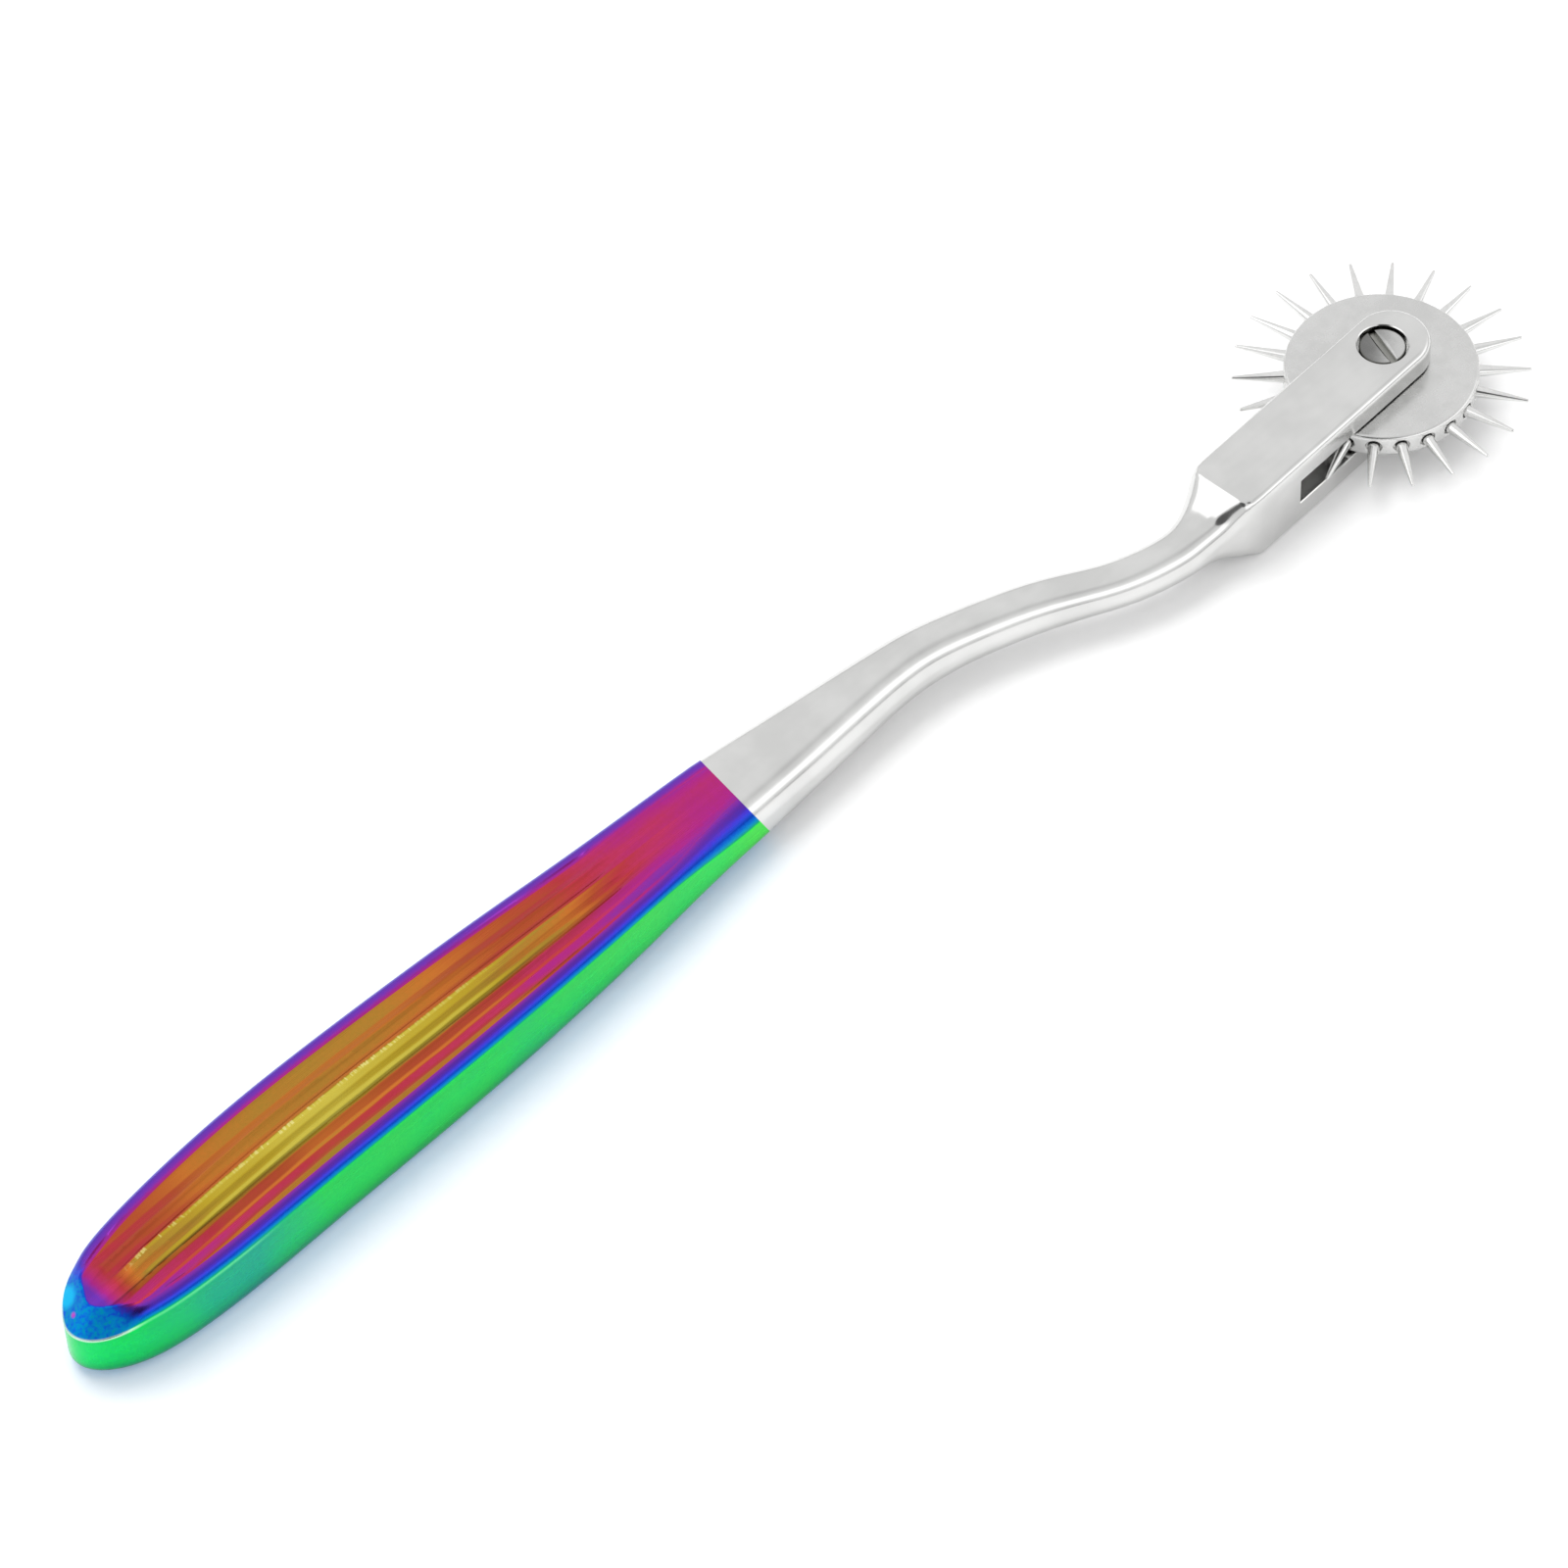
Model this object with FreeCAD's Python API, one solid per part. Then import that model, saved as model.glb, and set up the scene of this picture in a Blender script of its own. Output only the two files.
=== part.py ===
import FreeCAD, Part
import math
import os
from FreeCAD import Vector

# A hand-held pinwheel for testing skin feeling: a wheel of 22 needle-sharp pins turns on a slotted
# shoulder screw between the two ears of a fork. Fork, S-bent neck and flat fluted grip are one forging.
# All lengths are in millimetres and all angles in degrees. The origin is on the wheel's axis, at the
# underside of the lower ear. +Z is the wheel's axis, the grip lies towards -X and the wheel towards +X.

# Fork
fork_thickness = 8.8
fork_width = 7.9
fork_length = 22.6  # from the wheel's axis back to where its corners begin to round off
shoulder_length = 2.2  # over which the four corners round off, up to the neck's flare
shoulder_corner_radius = 2.1
fork_tilt = 2.3  # the fork's own axis is turned this much from the grip's direction
fork_edge_radius = 0.5
ear_reach = 5.3  # from the wheel's axis to the rounded front end of the ears
slot_width = 3.2
slot_depth = 17.2  # from the wheel's axis back to the slot's root

# Neck
neck_length = 59.0  # from the shoulder to the end of the grip
neck_diameter = 4.5
grip_offset = 8.95  # the grip's centre line stands this far to the +Y side of the wheel's axis

# Grip
grip_length = 84.2
grip_width = 12.8
grip_thickness = 8.65
grip_front_width = 8.8
grip_front_thickness = 6.1
grip_edge_radius = 1.35
tail_shift = 1.1  # how far the tail's middle comes back towards -Y

# Flutes, the same on top and underside
inner_flute_offset = 1.45
inner_flute_radius = 1.1
inner_flute_depth = 0.3
outer_flute_offset = 3.6
outer_flute_radius = 2.6
outer_flute_depth = 0.3
run_out_radius = 16.0  # of the arcs on which the flutes leave the grip's face
run_out_angle = 20.0

# Pivot screw
journal_radius = 1.7
journal_clearance = 0.05  # in the upper ear's hole
running_clearance = 0.05  # in the wheel's bore
head_radius = 2.35
head_clearance = 0.22  # between the head and its counterbore
head_height = 1.25
head_recess = 0.3  # from the fork's top face down to the head's rim
head_dome = 0.2
driver_slot_width = 0.75
driver_slot_depth = 0.65
driver_slot_angle = 72.0
thread_radius = 1.5
thread_recess = 0.3  # from the fork's underside up to the screw's end

# Wheel and pins
wheel_radius = 9.75
wheel_thickness = 2.65
rim_edge_radius = 0.45
pin_count = 22
pin_tip_circle_radius = 15.0
pin_radius = 0.65
pin_seat_depth = 2.6  # from the wheel's rim to the pin's inner end
pin_phase = 4.7
relief_clearance = 0.16  # between a pin and the relief round its root
relief_depth = 0.5

overrun = 1.0

# Levels and places that follow from the sizes above
middle_height = fork_thickness / 2
ear_thickness = (fork_thickness - slot_width) / 2
shoulder_reach = fork_length + shoulder_length
shoulder_x = -shoulder_reach * math.cos(math.radians(fork_tilt))
shoulder_y = -shoulder_reach * math.sin(math.radians(fork_tilt))
grip_x = shoulder_x - neck_length

# Neck sections from the shoulder to the grip, as shares: place along the neck, place across the bend,
# share of the fork's section, share of the grip's width, share of its thickness, corner rounding
neck_shares = [
    (0.0, 0.0, 1.0, 0.0, 0.0, None),
    (0.018, -0.008, 0.71, 0.0, 0.0, 0.6),
    (0.036, -0.018, 0.42, 0.0, 0.0, 0.72),
    (0.061, -0.03, 0.2, 0.0, 0.0, 0.84),
    (0.095, -0.038, 0.08, 0.0, 0.0, 0.92),
    (0.139, -0.005, 0.04, 0.0, 0.0, 0.94),
    (0.19, 0.075, 0.03, 0.0, 0.0, 0.94),
    (0.241, 0.194, 0.0, 0.01, 0.04, 0.94),
    (0.292, 0.349, 0.0, 0.04, 0.16, 0.94),
    (0.36, 0.543, 0.0, 0.09, 0.36, 0.94),
    (0.427, 0.693, 0.0, 0.115, 0.45, 0.94),
    (0.495, 0.819, 0.0, 0.15, 0.6, 0.94),
    (0.563, 0.91, 0.0, 0.22, 0.82, 0.92),
    (0.631, 0.953, 0.0, 0.335, 0.9, 0.88),
    (0.705, 0.968, 0.0, 0.48, 0.92, 0.82),
    (0.779, 0.976, 0.0, 0.63, 0.94, 0.75),
    (0.853, 0.984, 0.0, 0.78, 0.96, 0.68),
    (0.926, 0.992, 0.0, 0.9, 0.98, 0.62),
    (1.0, 1.0, 0.0, 1.0, 1.0, None),
]

# Grip outline from its front end to the tail, as shares: place along the grip, width, and how much of
# the tail's shift the middle line has there
grip_outline_shares = [
    (0.0, None, 0.0),
    (0.19, 0.811, 0.25),
    (0.31, 0.896, 0.29),
    (0.43, 0.955, 0.25),
    (0.55, 0.99, 0.18),
    (0.667, 1.0, 0.18),
    (0.786, 0.972, 0.47),
    (0.857, 0.914, 0.68),
    (0.905, 0.835, 0.8),
    (0.952, 0.66, 0.9),
    (0.982, 0.42, 0.97),
    (1.0, 0.0, 1.0),
]

# Grip thickness from its front end to the tail, as shares: place along the grip, and how much of the
# way from the front's thickness to the full thickness
grip_rise_shares = [
    (0.0, 0.0),
    (0.08, 0.23),
    (0.19, 0.47),
    (0.31, 0.73),
    (0.43, 0.89),
    (0.55, 0.965),
    (0.667, 1.0),
    (0.786, 1.0),
    (0.905, 0.89),
    (1.0, 0.62),
]

# Start, middle and end of every flute's run, as shares: place along the grip, depth, and distance from
# the grip's middle line
flute_run_shares = [(0.2, 0.8, 0.84), (0.55, 1.0, 1.0), (0.88, 0.8, 0.86)]


def export(shape, name):
    shape.exportStep("parts/" + name + ".step")


def value_at(table, share):
    """Straight-line value of a table of (share, value) rows."""
    for (a, low), (b, high) in zip(table, table[1:]):
        if share <= b:
            return low + (high - low) * (share - a) / (b - a)
    return table[-1][1]


def rounded_section(width, thickness, corner):
    """Closed wire in the YZ plane: a rectangle with round corners, centred on the origin."""
    half_w = width / 2
    half_t = thickness / 2
    flat_w = half_w - corner
    flat_t = half_t - corner
    edges = []
    for quarter in range(4):
        middle = math.radians(45 + 90 * quarter)
        centre_y = math.copysign(flat_w, math.cos(middle))
        centre_z = math.copysign(flat_t, math.sin(middle))
        points = []
        for turn in (0, 45, 90):
            angle = math.radians(90 * quarter + turn)
            points.append(Vector(0, centre_y + corner * math.cos(angle), centre_z + corner * math.sin(angle)))
        if edges:
            edges.append(Part.LineSegment(edges[-1].Vertexes[-1].Point, points[0]).toShape())
        edges.append(Part.Arc(*points).toShape())
    edges.append(Part.LineSegment(edges[-1].Vertexes[-1].Point, edges[0].Vertexes[0].Point).toShape())
    return Part.Wire(edges)


def placed_section(wire, x, y, heading):
    """The section moved to its place on the centre line and turned square to it."""
    wire = wire.copy()
    wire.rotate(Vector(0, 0, 0), Vector(0, 0, 1), heading)
    wire.translate(Vector(x, y, middle_height))
    return wire


def neck():
    """The flared, S-bent neck: a loft through rounded sections square to its centre line."""
    places = []
    for along, across, _, _, _, _ in neck_shares:
        x = shoulder_x - along * neck_length
        y = shoulder_y + across * (grip_offset - shoulder_y)
        places.append((x, y))
    wires = []
    for i, (_, _, fork_share, width_share, thick_share, round_share) in enumerate(neck_shares):
        width = neck_diameter + fork_share * (fork_width - neck_diameter)
        width += width_share * (grip_front_width - neck_diameter)
        thickness = neck_diameter + fork_share * (fork_thickness - neck_diameter)
        thickness += thick_share * (grip_front_thickness - neck_diameter)
        if i == 0:
            corner = shoulder_corner_radius
            heading = fork_tilt
        elif i == len(neck_shares) - 1:
            corner = grip_edge_radius
            heading = 0
        else:
            corner = round_share * min(width, thickness) / 2
            before = places[i - 1]
            after = places[i + 1]
            heading = math.degrees(math.atan2(before[1] - after[1], before[0] - after[0]))
        wires.append(placed_section(rounded_section(width, thickness, corner), *places[i], heading))
    return Part.makeLoft(wires, True, False, False, 3)


def shoulder():
    """The short stretch behind the fork over which its four corners round off."""
    sections = []
    for reach, corner in ((fork_length, fork_edge_radius), (shoulder_reach, shoulder_corner_radius)):
        wire = rounded_section(fork_width, fork_thickness, corner)
        wire.translate(Vector(-reach, 0, middle_height))
        sections.append(wire)
    block = Part.makeLoft(sections, True, True)
    block.rotate(Vector(0, 0, 0), Vector(0, 0, 1), fork_tilt)
    return block


def grip_blank():
    """The grip's outline as seen from above, cut to its thickness, with rounded long edges."""
    far = []
    near = []
    for along, width_share, shift_share in grip_outline_shares:
        x = grip_x - along * grip_length
        width = grip_front_width if width_share is None else width_share * grip_width
        y = grip_offset - shift_share * tail_shift
        far.append(Vector(x, y + width / 2, 0))
        near.append(Vector(x, y - width / 2, 0))
    tail_square = Vector(0, 1, 0)
    along_grip = Vector(-1, 0, 0)
    far_side = Part.BSplineCurve()
    far_side.interpolate(Points=far, InitialTangent=along_grip, FinalTangent=-tail_square)
    near_side = Part.BSplineCurve()
    near_side.interpolate(Points=near, InitialTangent=along_grip, FinalTangent=tail_square)
    front = Part.LineSegment(near[0], far[0])
    face = Part.Face(Part.Wire([far_side.toShape(), near_side.toShape(), front.toShape()]))
    plan = face.extrude(Vector(0, 0, fork_thickness + grip_thickness))
    plan.translate(Vector(0, 0, middle_height - (fork_thickness + grip_thickness) / 2))

    top = []
    for along, rise in grip_rise_shares:
        half = (grip_front_thickness + rise * (grip_thickness - grip_front_thickness)) / 2
        top.append(Vector(grip_x - along * grip_length, 0, half))
    tail_fall = top[-1] - top[-2]
    upper = Part.BSplineCurve()
    upper.interpolate(Points=top, InitialTangent=along_grip, FinalTangent=tail_fall)
    lower = Part.BSplineCurve()
    lower.interpolate(
        Points=[Vector(point.x, 0, -point.z) for point in top],
        InitialTangent=along_grip,
        FinalTangent=Vector(tail_fall.x, 0, -tail_fall.z),
    )
    back_x = top[-1].x - overrun
    back_top = Vector(back_x, 0, top[-1].z)
    back_low = Vector(back_x, 0, -top[-1].z)
    sides = [
        upper.toShape(),
        Part.LineSegment(top[-1], back_top).toShape(),
        Part.LineSegment(back_top, back_low).toShape(),
        Part.LineSegment(back_low, Vector(top[-1].x, 0, -top[-1].z)).toShape(),
        lower.toShape(),
        Part.LineSegment(Vector(top[0].x, 0, -top[0].z), top[0]).toShape(),
    ]
    profile = Part.Face(Part.Wire(Part.__sortEdges__(sides)))
    profile = profile.extrude(Vector(0, 2 * (grip_width + grip_offset), 0))
    profile.translate(Vector(0, -grip_width, middle_height))
    return plan.common(profile)


def rounded_grip():
    blank = grip_blank()
    long_edges = []
    for edge in blank.Edges:
        box = edge.BoundBox
        if box.ZLength < grip_thickness / 2 and box.XLength > grip_length / 2:
            long_edges.append(edge)
    return blank.makeFillet(grip_edge_radius, long_edges)


def run_out(point, along):
    """The arc on which a cutter leaves the grip's face, starting at a point in a given direction."""
    side = math.copysign(1, point.z - middle_height)
    lift = Vector(0, 0, side) - along * along.z * side
    lift.normalize()
    points = []
    for share in (0, 0.5, 1):
        turn = math.radians(share * run_out_angle)
        points.append(point + (along * math.sin(turn) + lift * (1 - math.cos(turn))) * run_out_radius)
    return points


def flute(offset, radius, depth, side):
    """One round-bottomed cutter, swept along the grip's face and lifted clear of it at both ends."""
    middle_line = [(row[0], row[2]) for row in grip_outline_shares]
    points = []
    for share, sink, spread in flute_run_shares:
        rise = value_at(grip_rise_shares, share)
        half = (grip_front_thickness + rise * (grip_thickness - grip_front_thickness)) / 2
        y = grip_offset - value_at(middle_line, share) * tail_shift + offset * spread
        height = middle_height + side * (half + radius - sink * depth)
        points.append(Vector(grip_x - share * grip_length, y, height))
    run = Part.Arc(*points).toShape()
    into = run.tangentAt(run.FirstParameter)
    out = run.tangentAt(run.LastParameter)
    before = run_out(points[0], -into)
    after = run_out(points[-1], out)
    path = Part.Wire([Part.Arc(*reversed(before)).toShape(), run, Part.Arc(*after).toShape()])
    start = before[-1]
    heading = path.Edges[0].tangentAt(path.Edges[0].FirstParameter)
    ring = Part.Wire(Part.makeCircle(radius, start, heading))
    return path.makePipeShell([ring], True, False)


def grip():
    """The rounded grip with two inner and two outer flutes on its top and on its underside."""
    body = rounded_grip()
    for offset, radius, depth in (
        (inner_flute_offset, inner_flute_radius, inner_flute_depth),
        (outer_flute_offset, outer_flute_radius, outer_flute_depth),
    ):
        cutters = [flute(hand * offset, radius, depth, side) for hand in (1, -1) for side in (1, -1)]
        body = body.cut(cutters)
    return body


def fork():
    """The forked block, still without holes, with its slot open to the front and both sides."""
    half = fork_width / 2
    centre_x = ear_reach - half
    back_left = Vector(-fork_length, half, 0)
    back_right = Vector(-fork_length, -half, 0)
    front_left = Vector(centre_x, half, 0)
    front_right = Vector(centre_x, -half, 0)
    sides = [
        Part.LineSegment(back_left, front_left).toShape(),
        Part.Arc(front_left, Vector(ear_reach, 0, 0), front_right).toShape(),
        Part.LineSegment(front_right, back_right).toShape(),
        Part.LineSegment(back_right, back_left).toShape(),
    ]
    block = Part.Face(Part.Wire(sides)).extrude(Vector(0, 0, fork_thickness))
    rounded = []
    for edge in block.Edges:
        box = edge.BoundBox
        if box.ZLength < fork_edge_radius and box.XMax > centre_x - fork_edge_radius:
            rounded.append(edge)
    block = block.makeFillet(fork_edge_radius, rounded)
    slot = Part.makeBox(
        slot_depth + ear_reach + overrun,
        fork_width + 2 * overrun,
        slot_width,
        Vector(-slot_depth, -half - overrun, ear_thickness),
    )
    block = block.cut(slot)
    block.rotate(Vector(0, 0, 0), Vector(0, 0, 1), fork_tilt)
    return block


def upright(radius, low, high):
    """A round bar on the wheel's axis, from one height to another."""
    return Part.makeCylinder(radius, high - low, Vector(0, 0, low))


def handle_body():
    """One forging: fork, neck and grip, with the holes for the pivot screw."""
    seat = fork_thickness - head_recess - head_height
    above = fork_thickness + overrun
    holes = [
        upright(thread_radius, -overrun, middle_height),
        upright(journal_radius + journal_clearance, middle_height, above),
        upright(head_radius + head_clearance, seat, above),
    ]
    drilled_fork = fork().cut(holes)
    return drilled_fork.fuse([shoulder(), neck(), grip()])


def pivot_screw():
    """Shoulder screw: domed slotted head, plain journal for the wheel, threaded end in the lower ear."""
    seat = fork_thickness - head_recess - head_height
    rim = fork_thickness - head_recess
    profile = [
        Vector(0, 0, thread_recess),
        Vector(thread_radius, 0, thread_recess),
        Vector(thread_radius, 0, ear_thickness),
        Vector(journal_radius, 0, ear_thickness),
        Vector(journal_radius, 0, seat),
        Vector(head_radius, 0, seat),
        Vector(head_radius, 0, rim),
    ]
    crown = Vector(0, 0, rim + head_dome)
    dome_radius = (head_radius**2 + head_dome**2) / (2 * head_dome)
    angle = math.asin(head_radius / dome_radius) / 2
    dome_centre = rim + head_dome - dome_radius
    on_dome = Vector(dome_radius * math.sin(angle), 0, dome_centre + dome_radius * math.cos(angle))
    edges = []
    for a, b in zip(profile, profile[1:]):
        edges.append(Part.LineSegment(a, b).toShape())
    edges.append(Part.Arc(profile[-1], on_dome, crown).toShape())
    edges.append(Part.LineSegment(crown, profile[0]).toShape())
    screw = Part.Face(Part.Wire(edges)).revolve(Vector(0, 0, 0), Vector(0, 0, 1), 360)
    slot = Part.makeBox(
        2 * (head_radius + overrun),
        driver_slot_width,
        driver_slot_depth + overrun,
        Vector(-head_radius - overrun, -driver_slot_width / 2, rim + head_dome - driver_slot_depth),
    )
    slot.rotate(Vector(0, 0, 0), Vector(0, 0, 1), driver_slot_angle)
    return screw.cut(slot)


def pin_angles():
    return [pin_phase + 360 * i / pin_count for i in range(pin_count)]


def on_rim(shape, angle):
    """A shape drawn along +X from the wheel's centre, turned to its pin's place on the wheel."""
    shape = shape.copy()
    shape.rotate(Vector(0, 0, 0), Vector(0, 0, 1), angle)
    shape.translate(Vector(0, 0, middle_height))
    return shape


def rim_hole(radius, depth):
    """A round cutter along +X that reaches this deep below the wheel's rim."""
    return Part.makeCylinder(radius, depth + overrun, Vector(wheel_radius - depth, 0, 0), Vector(1, 0, 0))


def wheel_disc():
    """The wheel's body: a disc with rounded rims, its bore and a relieved blind hole for every pin."""
    low = middle_height - wheel_thickness / 2
    top = low + wheel_thickness
    disc = upright(wheel_radius, low, top)
    rims = [edge for edge in disc.Edges if edge.BoundBox.ZLength < rim_edge_radius]
    disc = disc.makeFillet(rim_edge_radius, rims)
    disc = disc.cut(upright(journal_radius + running_clearance, low - overrun, top + overrun))
    hole = rim_hole(pin_radius, pin_seat_depth).fuse(rim_hole(pin_radius + relief_clearance, relief_depth))
    return disc.cut([on_rim(hole, angle) for angle in pin_angles()])


def pin():
    """One pin along +X: a plain shank pressed into the wheel and a long taper to a sharp point."""
    inner = wheel_radius - pin_seat_depth
    root = wheel_radius - relief_depth
    outline = [
        Vector(inner, 0, 0),
        Vector(inner, pin_radius, 0),
        Vector(root, pin_radius, 0),
        Vector(pin_tip_circle_radius, 0, 0),
        Vector(inner, 0, 0),
    ]
    return Part.Face(Part.makePolygon(outline)).revolve(Vector(0, 0, 0), Vector(1, 0, 0), 360)


os.makedirs("parts", exist_ok=True)
export(handle_body(), "handle_body")
export(pivot_screw(), "pivot_screw")
export(wheel_disc(), "wheel_disc")
one_pin = pin()
for number, angle in enumerate(pin_angles(), 1):
    export(on_rim(one_pin, angle), f"pin_{number:02d}")
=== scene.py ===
import math
from functools import reduce

import bmesh
import bpy
import numpy as np
from mathutils import Matrix


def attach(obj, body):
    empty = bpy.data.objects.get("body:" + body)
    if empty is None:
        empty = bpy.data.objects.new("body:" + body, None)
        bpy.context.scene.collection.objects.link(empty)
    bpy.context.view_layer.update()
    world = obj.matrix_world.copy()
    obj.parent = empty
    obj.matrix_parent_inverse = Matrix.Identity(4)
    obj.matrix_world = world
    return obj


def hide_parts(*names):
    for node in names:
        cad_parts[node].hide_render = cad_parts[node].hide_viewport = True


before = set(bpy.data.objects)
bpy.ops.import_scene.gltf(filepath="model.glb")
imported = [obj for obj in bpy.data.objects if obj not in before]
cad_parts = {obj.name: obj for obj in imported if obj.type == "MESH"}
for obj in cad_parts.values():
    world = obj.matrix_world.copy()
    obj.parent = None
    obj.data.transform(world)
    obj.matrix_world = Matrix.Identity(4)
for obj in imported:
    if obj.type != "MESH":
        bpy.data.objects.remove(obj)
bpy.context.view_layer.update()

mm = 0.001
midHeight = 4.4 * mm  # the wheel's mid-plane, and the handle's
print("frame loaded:", len(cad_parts), "nodes")


# Curves and meshes

def smoothThrough(places, values, wanted):
    # natural cubic through the given points: solve for the bends at the points, then evaluate each cubic
    gap = np.diff(places)
    slope = np.diff(values) / gap
    count = len(places)
    inner = np.arange(1, count - 1)
    system = np.eye(count)
    system[inner, inner - 1] = gap[:-1]
    system[inner, inner] = 2 * (gap[:-1] + gap[1:])
    system[inner, inner + 1] = gap[1:]
    right = np.zeros(count)
    right[1:-1] = 6 * np.diff(slope)
    bend = np.linalg.solve(system, right)
    k = np.clip(np.searchsorted(places, wanted) - 1, 0, count - 2)
    b = (wanted - places[k]) / gap[k]
    a = 1 - b
    cubic = ((a**3 - a) * bend[k] + (b**3 - b) * bend[k + 1]) * gap[k] ** 2 / 6
    return a * values[k] + b * values[k + 1] + cubic


def easeStep(low, high, x):
    # 0 below low, 1 above high, and a smooth S between them
    t = np.clip((x - low) / (high - low), 0, 1)
    return t * t * (3 - 2 * t)


def turnAbout(points, angle):
    # the same points turned about the Z axis; a height, where they have one, stays
    x = points[..., 0] * math.cos(angle) - points[..., 1] * math.sin(angle)
    y = points[..., 0] * math.sin(angle) + points[..., 1] * math.cos(angle)
    return np.concatenate([np.stack([x, y], -1), points[..., 2:]], -1)


def arcPoints(centre, radius, start, end, count):
    # points of a circle's arc in the (radius, height) plane, angles in degrees
    angle = np.radians(np.linspace(start, end, count))
    return np.stack([centre[0] + radius * np.cos(angle), centre[1] + radius * np.sin(angle)], 1)


def gridFaces(rows, columns, ringClosed):
    # one four-cornered face between each pair of neighbouring rows and columns
    steps = columns if ringClosed else columns - 1
    i, j = np.meshgrid(np.arange(rows - 1), np.arange(steps), indexing="ij")
    k = (j + 1) % columns
    corners = np.stack([i * columns + j, i * columns + k, (i + 1) * columns + k, (i + 1) * columns + j], -1)
    return corners.reshape(-1, 4)


def meshPiece(name, points, faces, attributes=(), caps=()):
    # points is an array of places in metres; each cap is a list of point numbers that makes one flat face
    mesh = bpy.data.meshes.new(name)
    mesh.from_pydata(points.reshape(-1, 3).tolist(), [], faces.tolist() + [list(cap) for cap in caps])
    for label, values in attributes:
        layer = mesh.attributes.new(label, "FLOAT", "POINT")
        layer.data.foreach_set("value", np.asarray(values, np.float32).ravel())
    piece = bpy.data.objects.new(name, mesh)
    bpy.context.scene.collection.objects.link(piece)
    return piece


def closeMesh(piece, gap=0.0004 * mm):
    # merges the points that meet at seams and poles, and turns every face outwards
    work = bmesh.new()
    work.from_mesh(piece.data)
    bmesh.ops.remove_doubles(work, verts=work.verts, dist=gap)
    bmesh.ops.dissolve_degenerate(work, edges=work.edges, dist=gap)
    bmesh.ops.recalc_face_normals(work, faces=work.faces)
    work.to_mesh(piece.data)
    work.free()


def smoothShade(piece, sharpAngle=35):
    piece.data.shade_smooth()
    piece.data.set_sharp_from_angle(angle=math.radians(sharpAngle))


def cutWith(piece, cutter):
    # takes the cutter's shape out of the piece, for good, and clears the cutter away
    cut = piece.modifiers.new("cut", "BOOLEAN")
    cut.operation = "DIFFERENCE"
    cut.solver = "EXACT"
    cut.object = cutter
    graph = bpy.context.evaluated_depsgraph_get()
    graph.update()
    mesh = bpy.data.meshes.new_from_object(piece.evaluated_get(graph))
    piece.modifiers.clear()
    piece.data = mesh
    bpy.data.objects.remove(cutter)


def carriedRound(profile, segments, axis):
    # a profile of (radius, height) points carried round the axis
    profile = np.asarray(profile, float)
    angle = np.linspace(0, 2 * math.pi, segments, endpoint=False)
    radius, height = profile[:, :1], profile[:, 1:] + 0 * angle
    round1, round2 = radius * np.cos(angle), radius * np.sin(angle)
    return np.stack({"z": (round1, round2, height), "x": (height, round1, round2)}[axis], -1)


def turned(name, profile, segments, axis="z"):
    # a lathe-turned solid, closed at both poles
    piece = meshPiece(name, carriedRound(profile, segments, axis), gridFaces(len(profile), segments, True))
    closeMesh(piece)
    return piece


def ribSkin(rows, counts):
    # A flat bar as ribs. Each rib runs level from the middle line towards an edge, goes round the corner on a
    # quarter circle and straight down to mid-height, and the underside does the same upside down. Facet is
    # how far a top corner is a straight 45 degree cut instead of a quarter circle. Returns five grids: x, y,
    # height over mid-plane, edge and under. Edge is the distance to the flat's rim (below 0) on the flat,
    # 0 to 2 through the corner and 2 to 3 down the wall. Under is 1 on the underside.
    flat = np.linspace(0, 1, counts[0], endpoint=False)
    turn = np.linspace(0, 1, counts[1], endpoint=False)
    drop = np.linspace(0, 1, counts[2] + 1)
    # each quarter of the ring leaves out the end points that the quarter beside it has
    quarters = (("far", 1, 1, "farCorner", slice(0, None)), ("far", 1, -1, "lowCorner", slice(0, -1)),
                ("near", -1, -1, "lowCorner", slice(1, -1)), ("near", -1, 1, "nearCorner", slice(1, None)))
    ring = []
    for hand, side, up, corner, kept in quarters:
        rib = rows[hand] - rows["middle"]
        width = np.maximum(np.linalg.norm(rib, axis=1), 1e-9)[:, None]
        half = rows["high" if up > 0 else "low"][:, None]
        r = np.minimum(rows[corner][:, None], 0.98 * width)
        facet = rows["facet"][:, None] * (up > 0)
        angle = turn * math.pi / 2
        across = (1 - facet) * np.sin(angle) + facet * turn
        down = (1 - facet) * (1 - np.cos(angle)) + facet * turn
        out = np.concatenate([flat * (width - r), width - r + r * across, width + 0 * drop], 1)
        rise = np.concatenate([half + 0 * flat, half - r * down, (half - r) * (1 - drop)], 1)
        edge = np.concatenate([(flat - 1) * (width - r), 2 * turn + 0 * r, 2 + drop + 0 * r], 1)
        x = rows["middle"][:, :1] + rib[:, :1] / width * out
        y = rows["middle"][:, 1:] + rib[:, 1:] / width * out
        grids = [grid[:, kept] for grid in (x, y, up * rise, edge, 0 * out + (up < 0))]
        ring.append([grid[:, ::-1] for grid in grids] if side * up < 0 else grids)
    return [np.concatenate([quarter[item] for quarter in ring], 1) for item in range(5)]


# Forged handle: fork, neck and grip in one skin

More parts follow.
